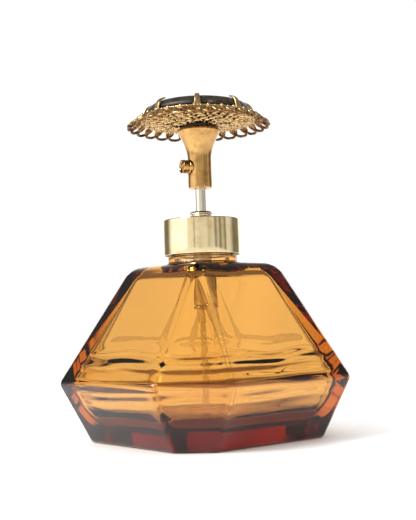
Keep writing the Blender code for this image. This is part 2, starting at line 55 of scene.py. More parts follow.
# The glass bottle's outline, at the levels where its facets meet
GIRDLE_Z, GIRDLE_REACH, GIRDLE_HALF = 20.3 * MM, 48.5 * MM, 11.9 * MM
BASE_REACH, BASE_HALF = 38.8 * MM, 6.6 * MM
SHOULDER_Z, SHOULDER_REACH = 59.2 * MM, 25.0 * MM
SHOULDER_ROUND = 3.6 * MM
NECK_R, BORE_R = 10.0 * MM, 8.0 * MM
BEAD_R, BEAD_TOP_Z = 12.0 * MM, 61.8 * MM
THREAD_PITCH, THREAD_Z, THREAD_TURNS, THREAD_R = 3.0 * MM, 64.2 * MM, 1.25, 0.8 * MM
FACE_WALL, CORNER_WALL = 6.2 * MM, 7.6 * MM
FLOOR_Z, CEILING_Z = 8.2 * MM, 55.0 * MM

# The ornament
PLATE_RISE, PLATE_THICK, SKIRT_SLOPE = 1.5 * MM, 0.8 * MM, 0.58
LOOP_COUNT, LOOP_START = 28, math.radians(2.3)
PRONG_COUNT, PRONG_START = 8, math.radians(-85)
SETTING_R, RIVET_HOLE_R, STONE_EDGE_Z = 19.3 * MM, 1.5 * MM, 114.6 * MM

# The camera, as it stands to the bottle's axis, and its lens and sensor in millimetres
CAMERA_DISTANCE, CAMERA_HEIGHT = 324.3 * MM, 38.1 * MM
CAMERA_AZIMUTH, CAMERA_YAW = math.radians(5.55), math.radians(-0.33)
CAMERA_PITCH, CAMERA_ROLL = math.radians(4.0), math.radians(1.78)
LENS, SENSOR = 65.14615, 36.0

# Tints of the studio's soft boxes and screens
WHITE, CREAM, GREY = (1.0, 1.0, 1.0), (1.0, 0.97, 0.90), (0.90, 0.84, 0.74)

MERGE = 1e-6


def extent(node):
    """A turned node's radius, lowest level and highest level."""
    low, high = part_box(node)
    return high[0], low[2], high[2]


PLATE_R, PLATE_LOW = extent("filigree_plate")[:2]


# Mesh helpers ---------------------------------------------------------------------------

def link(name, mesh, body, *replaced, smooth=35):
    """A new piece that rides on a body and stands for CAD nodes."""
    obj = bpy.data.objects.new(name, mesh)
    bpy.context.scene.collection.objects.link(obj)
    mesh.shade_smooth()
    mesh.set_sharp_from_angle(angle=math.radians(smooth))
    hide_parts(*replaced)
    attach(obj, body)
    return obj


def to_mesh(bm, name):
    mesh = bpy.data.meshes.new(name)
    bm.to_mesh(mesh)
    bm.free()
    return mesh


def fillet(points, closed=True, steps=4):
    """Round the corners of an outline of (r, z, radius) points."""
    out = []
    count = len(points)
    for i, (r, z, radius) in enumerate(points):
        here = Vector((r, z))
        if radius <= 0 or (not closed and i in (0, count - 1)):
            out.append((r, z))
            continue
        before = Vector(points[i - 1][:2]) - here
        after = Vector(points[(i + 1) % count][:2]) - here
        half = before.angle(after) / 2
        cut = min(radius / math.tan(half), before.length * 0.49, after.length * 0.49)
        start, end = here + before.normalized() * cut, here + after.normalized() * cut
        for k in range(steps + 1):
            t = k / steps
            point = start.lerp(here, t).lerp(here.lerp(end, t), t)
            out.append((point.x, point.y))
    return out


def lathe_mesh(name, outline, steps=96, closed=True, axis=None, origin=None):
    """Turn an outline round Z, or round another axis through origin."""
    bm = bmesh.new()
    rings = []
    for r, z in outline:
        if r < MERGE:
            rings.append([bm.verts.new((0, 0, z))])
            continue
        ring = []
        for i in range(steps):
            a = 2 * math.pi * i / steps
            ring.append(bm.verts.new((r * math.cos(a), r * math.sin(a), z)))
        rings.append(ring)
    pairs = list(zip(rings, rings[1:]))
    if closed:
        pairs.append((rings[-1], rings[0]))
    for one, two in pairs:
        for i in range(steps):
            j = (i + 1) % steps
            corners = [one[i % len(one)], two[i % len(two)], two[j % len(two)], one[j % len(one)]]
            face = list(dict.fromkeys(corners))
            if len(face) > 2:
                bm.faces.new(face)
    bmesh.ops.recalc_face_normals(bm, faces=bm.faces)
    if axis is not None:
        turn = axis.to_track_quat("Z", "Y").to_matrix().to_4x4()
        bmesh.ops.transform(bm, matrix=Matrix.Translation(origin) @ turn, verts=bm.verts)
    return to_mesh(bm, name)


def turned(name, outline, body, *replaced, paint, steps=96, closed=True, axis=None, origin=None):
    """A turned piece from (r, z, corner radius) points."""
    mesh = lathe_mesh(name, fillet(outline, closed), steps, closed, axis, origin)
    mesh.materials.append(paint)
    return link(name, mesh, body, *replaced)


def tube(bm, path, radii, sides=10, capped=True):
    """Sweep a round section along a path; radii holds one radius for each point."""
    rings = []
    side = None
    for i, point in enumerate(path):
        ahead = path[min(i + 1, len(path) - 1)] - path[max(i - 1, 0)]
        ahead.normalize()
        if side is None:
            side = ahead.orthogonal().normalized()
        side = (side - ahead * side.dot(ahead)).normalized()
        other = ahead.cross(side)
        ring = []
        for k in range(sides):
            a = 2 * math.pi * k / sides
            ring.append(bm.verts.new(point + (side * math.cos(a) + other * math.sin(a)) * radii[i]))
        rings.append(ring)
    for one, two in zip(rings, rings[1:]):
        for k in range(sides):
            j = (k + 1) % sides
            bm.faces.new((one[k], one[j], two[j], two[k]))
    if capped:
        bm.faces.new(list(reversed(rings[0])))
        bm.faces.new(rings[-1])


def smooth_path(points, per_span):
    """A Catmull-Rom curve through points."""
    out = []
    count = len(points)
    for i in range(count - 1):
        a, b, c, d = points[max(i - 1, 0)], points[i], points[i + 1], points[min(i + 2, count - 1)]
        for k in range(per_span):
            t = k / per_span
            out.append(0.5 * ((2 * b) + (c - a) * t + (2 * a - 5 * b + 4 * c - d) * t * t
                              + (3 * b - a - 3 * c + d) * t ** 3))
    out.append(points[-1].copy())
    return out


def boolean(target, other, operation):
    step = target.modifiers.new(other.name, "BOOLEAN")
    step.operation = operation
    step.solver = "EXACT"
    step.object = other


def baked(obj, name):
    """The mesh of an object with its modifiers applied; the object itself is removed."""
    bpy.context.view_layer.update()
    evaluated = obj.evaluated_get(bpy.context.evaluated_depsgraph_get())
    mesh = bpy.data.meshes.new_from_object(evaluated)
    mesh.name = name
    bpy.data.objects.remove(obj)
    return mesh


def loose(name, mesh):
    """An object that is only a step on the way to another."""
    obj = bpy.data.objects.new(name, mesh)
    bpy.context.scene.collection.objects.link(obj)
    return obj


# Materials ------------------------------------------------------------------------------

class Paint:
    """A Principled material with short names for its nodes."""

    def __init__(self, name):
        self.material = bpy.data.materials.new(name)
        self.material.use_nodes = True
        self.tree = self.material.node_tree
        self.shader = self.tree.nodes["Principled BSDF"]
        self.output = self.tree.nodes["Material Output"]

    def set(self, **values):
        for key, value in values.items():
            self.shader.inputs[key.replace("_", " ")].default_value = value

    def node(self, kind, inputs=None, **settings):
        made = self.tree.nodes.new(kind)
        for key, value in settings.items():
            setattr(made, key, value)
        for key, value in (inputs or {}).items():
            if isinstance(value, bpy.types.NodeSocket):
                self.tree.links.new(value, made.inputs[key])
            else:
                made.inputs[key].default_value = value
        return made

    def into(self, socket, key):
        self.tree.links.new(socket, self.shader.inputs[key])

    def place(self, scale=(1000, 1000, 1000)):
        """Object coordinates in millimetres, stretched by scale / 1000."""
        coords = self.node("ShaderNodeTexCoord")
        return self.node("ShaderNodeMapping", {"Vector": coords.outputs["Object"], "Scale": scale}).outputs[0]

    def noise(self, scale, detail=3.0, rough=0.5, stretch=(1000, 1000, 1000), distort=0.0):
        made = self.node("ShaderNodeTexNoise", {"Vector": self.place(stretch), "Scale": scale,
                                                "Detail": detail, "Roughness": rough, "Distortion": distort})
        return made.outputs["Fac"]

    def ramp(self, value, *stops):
        made = self.node("ShaderNodeValToRGB", {"Fac": value})
        band = made.color_ramp
        while len(band.elements) < len(stops):
            band.elements.new(0.5)
        for element, (position, color) in zip(band.elements, stops):
            element.position = position
            element.color = (*color, 1.0)
        return made.outputs["Color"]

    def range(self, value, low, high, start=0.0, end=1.0):
        made = self.node("ShaderNodeMapRange", {"Value": value, "From Min": start, "From Max": end,
                                                "To Min": low, "To Max": high})
        return made.outputs["Result"]

    def mix(self, factor, one, two):
        made = self.node("ShaderNodeMix", data_type="RGBA")
        for key, value in ((0, factor), (6, one), (7, two)):
            if isinstance(value, bpy.types.NodeSocket):
                self.tree.links.new(value, made.inputs[key])
            else:
                made.inputs[key].default_value = value if key == 0 else (*value, 1.0)
        return made.outputs[2]

    def bump(self, height, distance, strength=1.0):
        made = self.node("ShaderNodeBump", {"Height": height, "Strength": strength, "Distance": distance})
        self.into(made.outputs["Normal"], "Normal")


def rgb(r, g, b):
    """A linear colour from 8-bit display values."""
    return tuple((c / 255 / 12.92) if c <= 10 else ((c / 255 + 0.055) / 1.055) ** 2.4 for c in (r, g, b))


def amber_glass():
    """Clear glass with a faint ripple; its volume absorbs all but amber light."""
    paint = Paint("amber_glass_moulded")
    paint.set(Base_Color=(1, 1, 1, 1), Roughness=0.0, IOR=1.52, Transmission_Weight=1.0,
              Specular_IOR_Level=0.3)
    ripple = paint.noise(0.12, 2.0, 0.4)
    paint.bump(ripple, 0.05 * MM, 0.35)
    volume = paint.node("ShaderNodeVolumeAbsorption", {"Color": (0.87, 0.61, 0.03, 1.0), "Density": 220.0})
    paint.tree.links.new(volume.outputs[0], paint.output.inputs["Volume"])
    return paint.material


def polished_brass(name, light, dark, rough, spots=0.35):
    """Brass with a soft tarnish in patches, fine lines along Z and a few specks."""
    paint = Paint(name)
    paint.set(Metallic=1.0)
    patches = paint.noise(0.35, 4.0, 0.6)
    specks = paint.noise(2.6, 2.0, 0.7)
    tint = paint.mix(paint.range(patches, 0.0, 1.0, 0.45, 0.85), light, dark)
    mask = paint.range(specks, 0.0, spots, 0.66, 0.74)
    paint.into(paint.mix(mask, tint, tuple(c * 0.35 for c in dark)), "Base Color")
    lines = paint.noise(1.0, 4.0, 0.6, (2200, 2200, 60))
    paint.into(paint.range(lines, rough * 0.7, rough * 1.5), "Roughness")
    paint.bump(lines, 0.01 * MM, 0.08)
    return paint.material


def gilt_with_painted_shade():
    """Gilt with painted light and shade: a painted highlight on the ridges and brown painted shade in the
    hollows, from the mesh's own relief.
    """
    paint = Paint("antique_gilt_painted_shade")
    paint.set(Metallic=1.0)
    relief = paint.node("ShaderNodeAttribute", attribute_name="relief").outputs["Fac"]
    grime = paint.noise(1.4, 5.0, 0.65)
    uneven = paint.range(grime, -0.25, 0.25)
    level = paint.node("ShaderNodeMath", {0: relief, 1: uneven}, operation="ADD").outputs[0]
    # Painted shade and highlight: low relief values (the hollows) get dark brown, and high values (the
    # ridges) get light cream.
    color = paint.ramp(level, (0.10, rgb(40, 22, 10)), (0.36, rgb(100, 66, 34)), (0.62, rgb(168, 128, 78)),
                       (0.90, rgb(228, 202, 152)))
    paint.into(color, "Base Color")
    paint.into(paint.range(level, 0.55, 0.24), "Roughness")
    paint.bump(grime, 0.04 * MM, 0.5)
    return paint.material


def steel():
    paint = Paint("polished_steel")
    paint.set(Metallic=1.0)
    haze = paint.noise(0.8, 4.0, 0.6, (1600, 1600, 120))
    paint.into(paint.ramp(haze, (0.3, rgb(214, 206, 190)), (0.7, rgb(236, 230, 218))), "Base Color")
    paint.into(paint.range(haze, 0.10, 0.24), "Roughness")
    return paint.material


def black_part(name, rough, color=(18, 13, 12)):
    paint = Paint(name)
    grain = paint.noise(3.0, 4.0, 0.6)
    paint.into(paint.ramp(grain, (0.3, rgb(*color)), (0.8, rgb(*(c + 16 for c in color)))), "Base Color")
    paint.into(paint.range(grain, rough * 0.8, rough * 1.2), "Roughness")
    paint.bump(grain, 0.02 * MM, 0.4)
    return paint.material


def dark_stone():
    """Nearly black stone with a worn, slightly pitted skin and brown-grey clouds."""
    paint = Paint("dark_stone")
    paint.set(IOR=1.55, Specular_IOR_Level=0.35)
    clouds = paint.noise(0.22, 6.0, 0.62)
    veins = paint.noise(1.1, 6.0, 0.7, distort=0.8)
    color = paint.ramp(clouds, (0.32, rgb(14, 12, 11)), (0.55, rgb(48, 40, 34)), (0.75, rgb(112, 98, 86)))
    flecks = paint.noise(0.9, 3.0, 0.5)
    color = paint.mix(paint.range(veins, 0.0, 0.55, 0.5, 0.8), color, rgb(22, 19, 17))
    paint.into(paint.mix(paint.range(flecks, 0.0, 0.8, 0.68, 0.74), color, rgb(176, 166, 146)), "Base Color")
    paint.into(paint.range(veins, 0.22, 0.5), "Roughness")
    paint.bump(veins, 0.12 * MM, 0.7)
    return paint.material


def clear_plastic():
    paint = Paint("natural_plastic")
    paint.set(IOR=1.2, Transmission_Weight=0.95, Roughness=0.02)
    haze = paint.noise(0.5, 3.0, 0.5)
    paint.into(paint.ramp(haze, (0.3, rgb(242, 234, 216)), (0.7, rgb(252, 248, 238))), "Base Color")
    return paint.material


GLASS = amber_glass()
BRASS = polished_brass("collar_brass", rgb(243, 226, 184), rgb(222, 190, 132), 0.06, spots=0.15)
WORN_BRASS = polished_brass("worn_brass", rgb(200, 158, 98), rgb(146, 104, 54), 0.17, spots=0.7)
NICKEL = polished_brass("nickel_plating", rgb(214, 204, 184), rgb(172, 158, 136), 0.16)
GILT_PAINTED_SHADE = gilt_with_painted_shade()
STEEL = steel()
BLACK = black_part("black_plastic", 0.4)
RUBBER = black_part("black_rubber", 0.7)
STONE = dark_stone()
PLASTIC = clear_plastic()


# The bottle -----------------------------------------------------------------------------

def outer_section(z):
    """Reach and half width of the cut corner on the outside at a level."""
    if z <= GIRDLE_Z:
        t = z / GIRDLE_Z
        return BASE_REACH + (GIRDLE_REACH - BASE_REACH) * t, BASE_HALF + (GIRDLE_HALF - BASE_HALF) * t
    t = (z - GIRDLE_Z) / (SHOULDER_Z - GIRDLE_Z)
    return GIRDLE_REACH + (SHOULDER_REACH - GIRDLE_REACH) * t, GIRDLE_HALF * (1 - t)


def outer_body():
    """The faceted outside: the shoulder's edges are well rounded, and the others a little."""
    shoulder_weight, level_weight, slanted_weight = 1.0, 0.35, 0.3
    bm = bmesh.new()
    weight = bm.edges.layers.float.new("bevel_weight_edge")
    rings = []
    for z in (0.0, GIRDLE_Z, SHOULDER_Z):
        reach, half = outer_section(z)
        ring = []
        for k in range(4):
            turn = Matrix.Rotation(k * math.pi / 2, 3, "Z")
            ring += [bm.verts.new(turn @ Vector((reach, s * half, z))) for s in (-1, 1)]
        rings.append(ring)
    for low, high in zip(rings, rings[1:]):
        for i in range(8):
            bm.faces.new((low[i], low[(i + 1) % 8], high[(i + 1) % 8], high[i]))
    bm.faces.new(list(reversed(rings[0])))
    bm.faces.new(rings[-1])
    bmesh.ops.remove_doubles(bm, verts=bm.verts, dist=10 * MERGE)
    for edge in bm.edges:
        low, high = sorted(v.co.z for v in edge.verts)
        if high - low > MERGE:
            edge[weight] = slanted_weight
        else:
            edge[weight] = shoulder_weight if low > GIRDLE_Z + MERGE else level_weight
    obj = loose("outer_body", to_mesh(bm, "outer_body"))
    bevel = obj.modifiers.new("edges", "BEVEL")
    bevel.limit_method = "WEIGHT"
    bevel.width = SHOULDER_ROUND
    bevel.segments = 8
    return obj


def smooth_min(a, b, k):
    """The lower of two values, with a rounded corner about k wide."""
    h = max(0.0, 1.0 - abs(a - b) / k)
    return min(a, b) - h * h * k / 4


def inner_profile(z):
    """Distances to the cavity's corner facet and face at a level, rounded at the girdle."""
    girdle_round = 3.0 * MM
    low_reach, low_half = outer_section(0.0)
    mid_reach, mid_half = outer_section(GIRDLE_Z)
    top_reach, top_half = outer_section(SHOULDER_Z)
    below, above = z / GIRDLE_Z, (z - GIRDLE_Z) / (SHOULDER_Z - GIRDLE_Z)
    root = math.sqrt(2)
    values = []
    for low, mid, top, wall in ((low_reach, mid_reach, top_reach, CORNER_WALL),
                                ((low_reach + low_half) / root, (mid_reach + mid_half) / root,
                                 (top_reach + top_half) / root, FACE_WALL)):
        a = low + (mid - low) * below
        b = mid + (top - mid) * above
        values.append(smooth_min(a, b, girdle_round) - wall)
    return values


def cavity_radius(angle, z, power=55):
    """Distance from the axis to the eight-sided cavity wall; a high power keeps its corners tight."""
    reach, face = inner_profile(z)
    total = 0.0
    for k in range(8):
        along = math.cos(angle - k * math.pi / 4)
        if along > 0:
            total += (along / (reach if k % 2 == 0 else face)) ** power
    return total ** (-1 / power)


def wall_ripple(angle, z):
    """Soft level waves that pressing leaves in the inside of the wall, strongest above the girdle."""
    crest_z, reach_up, reach_down = GIRDLE_Z + 4.5 * MM, 4.2 * MM, 8.0 * MM
    waves_per_mm, wave_share, fine_share = 1.35, 0.46, 0.34
    strength = math.exp(-((z - crest_z) / (reach_up if z > crest_z else reach_down)) ** 2)
    wander = noise.noise(Vector((math.cos(angle) * 1.6, math.sin(angle) * 1.6, z / MM * 0.05)))
    wave = math.sin(z / MM * waves_per_mm + 3.0 * wander + 0.8 * math.sin(2 * angle))
    fine = noise.noise(Vector((math.cos(angle) * 2.2, math.sin(angle) * 2.2, z / MM * 0.6)))
    return (wave_share * wave + fine_share * fine) * strength * MM


def corner_inset(distance, radius):
    """How far a quarter-round corner stands in from the wall, at a distance from its end."""
    if distance >= radius:
        return 0.0
    return radius - math.sqrt(radius ** 2 - (radius - distance) ** 2)


def cavity_rows(rim_z):
    """The cavity's rings from the floor's centre to above the rim, as (share, level, part)."""
    floor_rings, wall_rings, roof_rings, crowding = 8, 130, 6, 0.25
    rows = [(i / (floor_rings + 1), FLOOR_Z, "floor") for i in range(1, floor_rings + 1)]
    for i in range(wall_rings + 1):
        t = i / wall_rings
        t = (1 - crowding) * t + crowding * (0.5 - 0.5 * math.cos(math.pi * t))
        rows.append((1.0, FLOOR_Z + (CEILING_Z - FLOOR_Z) * t, "wall"))
    rows += [(i / roof_rings, CEILING_Z, "roof") for i in range(1, roof_rings + 1)]
    bore_levels = (CEILING_Z + 0.6 * MM, CEILING_Z + 2 * MM, rim_z - 1.0 * MM, rim_z + 2 * MM)
    return rows + [(0.0, z, "bore") for z in bore_levels]


def cavity_tool(rim_z):
    """The whole inside, from the floor's centre to above the neck's rim."""
    steps, floor_round, top_round = 320, 6.5 * MM, 3.0 * MM
    floor_dome, roof_hole = 0.5 * MM, BORE_R + 0.6 * MM
    bm = bmesh.new()
    rings = [[bm.verts.new((0, 0, FLOOR_Z + floor_dome))]]
    for share, z, part in cavity_rows(rim_z):
        rise = floor_dome * (1 - share) if part == "floor" else 0.0
        inset = 0.0
        if part != "bore":
            inset = corner_inset(z - FLOOR_Z, floor_round) + corner_inset(CEILING_Z - z, top_round)
        ring = []
        for k in range(steps):
            angle = 2 * math.pi * k / steps
            if part == "bore":
                r = BORE_R
            else:
                r = cavity_radius(angle, z) - inset + wall_ripple(angle, z)
            if part == "floor":
                r *= share
            elif part == "roof":
                r += (roof_hole - r) * share
            ring.append(bm.verts.new((r * math.cos(angle), r * math.sin(angle), z + rise)))
        rings.append(ring)
    for one, two in zip(rings, rings[1:]):
        for i in range(steps):
            j = (i + 1) % steps
            face = list(dict.fromkeys((one[i % len(one)], one[j % len(one)], two[j], two[i])))
            bm.faces.new(face)
    bm.faces.new(list(rings[-1]))
    bmesh.ops.recalc_face_normals(bm, faces=bm.faces)
    return loose("cavity_tool", to_mesh(bm, "cavity_tool"))


def neck_tool(rim_z):
    """The neck with its bead, and a hollow-cornered foot that sinks into the shoulder."""
    lip, foot, deep = 0.6 * MM, 1.6 * MM, 0.9 * MM
    outline = [(0.0, rim_z, 0), (NECK_R, rim_z, lip), (NECK_R, BEAD_TOP_Z + 0.3 * MM, 0.5 * MM),
               (BEAD_R, BEAD_TOP_Z - 0.1 * MM, 0.5 * MM), (BEAD_R, SHOULDER_Z + 0.1 * MM, foot),
               (BEAD_R + foot, SHOULDER_Z - 0.15 * MM, 0), (BEAD_R + foot, SHOULDER_Z - deep, 0),
               (0.0, SHOULDER_Z - deep, 0)]
    return loose("neck_tool", lathe_mesh("neck_tool", fillet(outline, closed=False), 96, closed=False))


def thread_tool(radius, z0, turns, start, depth):
    """A screw thread's ridge that runs out at both ends."""
    per_turn, run_out = 48, 7
    steps = round(turns * per_turn)
    path, radii = [], []
    for i in range(steps + 1):
        a = 2 * math.pi * (start + i / per_turn)
        path.append(Vector((radius * math.cos(a), radius * math.sin(a), z0 + THREAD_PITCH * i / per_turn)))
        radii.append(depth * min(1.0, 0.4 + 0.6 * min(i, steps - i) / run_out))
    bm = bmesh.new()
    tube(bm, path, radii, 12)
    bmesh.ops.recalc_face_normals(bm, faces=bm.faces)
    return loose("thread_tool", to_mesh(bm, "thread_tool"))


def glass_bottle():
    rim_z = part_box("glass_bottle")[1][2]
    body = outer_body()
    tools = [neck_tool(rim_z), thread_tool(NECK_R, THREAD_Z, THREAD_TURNS, 0.0, THREAD_R), cavity_tool(rim_z)]
    boolean(body, tools[0], "UNION")
    boolean(body, tools[1], "UNION")
    boolean(body, tools[2], "DIFFERENCE")
    mesh = baked(body, "bottle_glass")
    for tool in tools:
        bpy.data.objects.remove(tool)
    mesh.materials.clear()
    mesh.materials.append(GLASS)
    bottle = link("bottle_glass", mesh, "bottle", "glass_bottle", smooth=28)
    normals = bottle.modifiers.new("flat_facets", "WEIGHTED_NORMAL")
    normals.keep_sharp = True
    normals.weight = 100


# The collar and the pump ----------------------------------------------------------------

def collar():
    """The brass shell with its domed top, and the threaded inner cap."""
    radius, low, high = extent("collar_shell")
    wall, hole, edge = 0.6 * MM, 3.65 * MM, 0.7 * MM
    rim = 74.7 * MM
    outside = [(hole, high - 0.12 * MM, 0)]
    steps = 10
    for i in range(1, steps + 1):
        r = hole + (radius - edge - hole) * i / steps
        outside.append((r, rim + (high - rim) * (1 - (r / (radius - edge)) ** 2), 0))
    outside += [(radius, rim - 0.12 * MM, edge), (radius, low, 0.18 * MM)]
    inside = [(radius - wall, low, 0.18 * MM), (radius - wall, rim - wall, edge)]
    for i in range(steps, -1, -1):
        r = hole + (radius - 2 * edge - hole) * i / steps
        inside.append((r, rim - wall + (high - rim) * (1 - (r / (radius - edge)) ** 2), 0))
    shell = turned("collar_brass_shell", outside + inside, "collar", "collar_shell", steps=128, paint=BRASS)

    radius, low, high = extent("collar_liner")
    web, root, bore = 0.8 * MM, 11.1 * MM, 6.0 * MM
    outline = [(bore, high, 0.1 * MM), (radius, high, 0.9 * MM), (radius, low, 0.2 * MM),
               (root, low, 0.2 * MM), (root, high - web, 0.3 * MM), (bore, high - web, 0.1 * MM)]
    liner = loose("liner_body", lathe_mesh("liner_body", fillet(outline), 96))
    thread = thread_tool(root, THREAD_Z, 1.0, 0.5, 0.7 * MM)
    boolean(liner, thread, "UNION")
    mesh = baked(liner, "collar_inner_cap")
    bpy.data.objects.remove(thread)
    mesh.materials.clear()
    mesh.materials.append(BLACK)
    link("collar_inner_cap", mesh, "collar", "collar_liner")


def ferrule():
    """A small crimped ring, its rim pressed in a little by the crimping tool."""
    radius, low, high = extent("stem_ferrule")
    shelf, spigot, hole = high - 1.2 * MM, radius - 0.9 * MM, 2.2 * MM
    crimps, crimp_share = 6, 0.035
    outline = [(hole, high - 0.25 * MM, 0.15 * MM), (hole + 0.6 * MM, high, 0.2 * MM),
               (radius - 0.5 * MM, high - 0.1 * MM, 0.3 * MM), (radius, shelf + 0.45 * MM, 0.3 * MM),
               (radius - 0.15 * MM, shelf, 0.15 * MM), (spigot, shelf, 0.1 * MM), (spigot, low, 0.1 * MM),
               (hole, low, 0.1 * MM)]
    piece = turned("stem_ferrule_ring", outline, "collar", "stem_ferrule", paint=STEEL)
    for vertex in piece.data.vertices:
        r = vertex.co.xy.length
        if r > hole + 0.5 * MM and vertex.co.z > shelf - 0.01 * MM:
            a = math.atan2(vertex.co.y, vertex.co.x)
            vertex.co.xy *= 1 - crimp_share * (0.5 + 0.5 * math.cos(crimps * a))


def pump():
    """The pump's barrel, its foot valve with the nipple, the dip tube and the neck gasket."""
    radius, low, high = extent("pump_cylinder")
    flange_low, body_r, bore = high - 0.8 * MM, 3.2 * MM, 2.6 * MM
    rim, groove_deep = 0.1 * MM, 0.25 * MM
    outline = [(bore, high, rim), (radius, high, 0.2 * MM), (radius, flange_low, 0.2 * MM),
               (body_r + 0.6 * MM, flange_low, rim), (body_r, flange_low - 0.6 * MM, rim)]
    for groove_z in (66.0 * MM, 58.0 * MM):
        outline += [(body_r, groove_z, rim), (body_r - groove_deep, groove_z - 0.3 * MM, rim),
                    (body_r - groove_deep, groove_z - 1.3 * MM, rim), (body_r, groove_z - 1.6 * MM, rim)]
    outline += [(body_r, low, 0.25 * MM), (bore, low, rim)]
    turned("pump_barrel", outline, "pump", "pump_cylinder", steps=64, paint=NICKEL)

    radius, low, high = extent("foot_valve")
    plug, nipple, socket, cage, throat, seat = (v * MM for v in (2.35, 1.9, 1.45, 1.35, 0.5, 45.15))
    shelf, flange_low, stop = 43.4 * MM, 42.6 * MM, 42.0 * MM
    outline = [(cage, high, rim), (plug, high, rim), (plug, shelf, 0), (radius, shelf, rim),
               (radius, flange_low, 0.25 * MM), (nipple + 0.2 * MM, flange_low, rim), (nipple, low, 0.2 * MM),
               (socket, low, rim), (socket, stop, 0), (throat, stop, 0), (throat, seat, 0),
               (cage, seat + cage - throat, 0)]
    turned("dip_tube_nipple", outline, "pump", "foot_valve", steps=48, paint=NICKEL)

    radius, low, high = extent("dip_tube")
    bore, slant = 0.75 * MM, 0.45
    outline = [(bore, high, 0), (radius, high, 0.1 * MM), (radius, low, 0.15 * MM), (bore, low, 0.1 * MM)]
    dip = turned("dip_tube_plastic", outline, "pump", "dip_tube", steps=32, paint=PLASTIC)
    for vertex in dip.data.vertices:
        if vertex.co.z < low + 0.5 * MM:
            vertex.co.z += slant * (vertex.co.x + radius)

    radius, low, high = extent("neck_gasket")
    inner = BORE_R + 0.2 * MM
    soft = 0.2 * MM
    outline = [(inner, high, soft), (radius, high, soft), (radius, low, soft), (inner, low, soft)]
    turned("neck_gasket_ring", outline, "seal", "neck_gasket", paint=RUBBER)


def stem():
    """The steel stem with its channel and the outlet valve's seat and chamber."""
    radius, low, high = extent("plunger_stem")
    tail, throat, chamber, outlet = (v * MM for v in (1.3, 0.5, 1.1, 0.6))
    shoulder, seat, stop = 72.2 * MM, 72.6 * MM, 79.3 * MM
    edge = 0.15 * MM
    outline = [(outlet, high, 0), (radius, high, edge), (radius, shoulder, edge), (tail, shoulder, 0),
               (tail, low, edge), (throat, low, 0), (throat, seat, 0),
               (chamber, seat + chamber - throat, 0), (chamber, stop, 0), (outlet, stop, 0)]
    turned("steel_stem", outline, "plunger", "plunger_stem", steps=48, paint=STEEL)


def spring(name, node, body, turns, wire):
    """A coil spring with a closed turn at each end."""
    radius, low, high = extent(node)
    mean, per_turn = radius - wire, 24
    steps = round((turns + 2) * per_turn)
    path = []
    for i in range(steps + 1):
        turn = i / per_turn
        open_share = min(1.0, max(0.0, (turn - 1) / turns))
        rise = wire + (high - low - 2 * wire) * open_share
        a = 2 * math.pi * turn
        path.append(Vector((mean * math.cos(a), mean * math.sin(a), low + rise)))
    bm = bmesh.new()
    tube(bm, path, [wire] * len(path), 8)
    bmesh.ops.recalc_face_normals(bm, faces=bm.faces)
    mesh = to_mesh(bm, name)
    mesh.materials.append(STEEL)
    coil = link(name, mesh, body, node, smooth=60)
    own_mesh(coil)


def springs():
    """Both springs, each kept as long as its joint's travel leaves it."""
    spring("return_coil", "return_spring", "pump", 7.0, 0.25 * MM)
    spring("outlet_coil", "outlet_spring", "plunger", 3.5, 0.12 * MM)


def nozzle_axis():
    """Direction from the main axis to the jet, and the point on the axis level with it."""
    low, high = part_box("nozzle_jet")
    middle = (Vector(low) + Vector(high)) / 2
    return Vector((middle.x, middle.y, 0)).normalized(), Vector((0, 0, middle.z))


def trumpet():
    """The finger trumpet with its side bore."""
    lip_r, low, high = extent("actuator_trumpet")
    radius, stem_bore, channel, lip_high = 4.15 * MM, 2.1 * MM, 0.8 * MM, 0.9 * MM
    stem_stop, channel_top, rivet_floor = 89.3 * MM, 94.0 * MM, 100.5 * MM
    flare_low, flare_high, flare_power, steps = low + 10.3 * MM, high - 1.1 * MM, 1.8, 24
    outline = [(0.0, rivet_floor, 0), (RIVET_HOLE_R, rivet_floor, 0), (RIVET_HOLE_R, high, 0.1 * MM)]
    outline += [(lip_r - 0.1 * MM, high, 0.25 * MM), (lip_r, high - lip_high, 0.3 * MM)]
    for i in range(1, steps):
        t = 1 - i / steps
        r = radius + (lip_r - 0.15 * MM - radius) * t ** flare_power
        outline.append((r, flare_low + (flare_high - flare_low) * t, 0))
    outline += [(radius - 0.02 * MM, low + 6 * MM, 0), (radius + 0.05 * MM, low + 2 * MM, 0)]
    outline += [(radius, low, 0.35 * MM), (stem_bore, low, 0.15 * MM), (stem_bore, stem_stop, 0)]
    outline += [(channel, stem_stop, 0), (channel, channel_top, 0), (0.0, channel_top, 0)]
    body = loose("trumpet_body", lathe_mesh("trumpet_body", fillet(outline, closed=False), 128, closed=False))
    axis, centre = nozzle_axis()
    pocket_r, floor, port, past = 2.6 * MM, 2.1 * MM, 0.7 * MM, 12 * MM
    pocket = [(0.0, past, 0), (pocket_r, past, 0), (pocket_r, floor, 0), (port, floor, 0), (port, 0.0, 0),
              (0.0, 0.0, 0)]
    cutter = loose("pocket", lathe_mesh("pocket", fillet(pocket, closed=False), 64, False, axis, centre))
    boolean(body, cutter, "DIFFERENCE")
    mesh = baked(body, "finger_trumpet")
    bpy.data.objects.remove(cutter)
    mesh.materials.clear()
    mesh.materials.append(WORN_BRASS)
    link("finger_trumpet", mesh, "plunger", "actuator_trumpet", smooth=25)


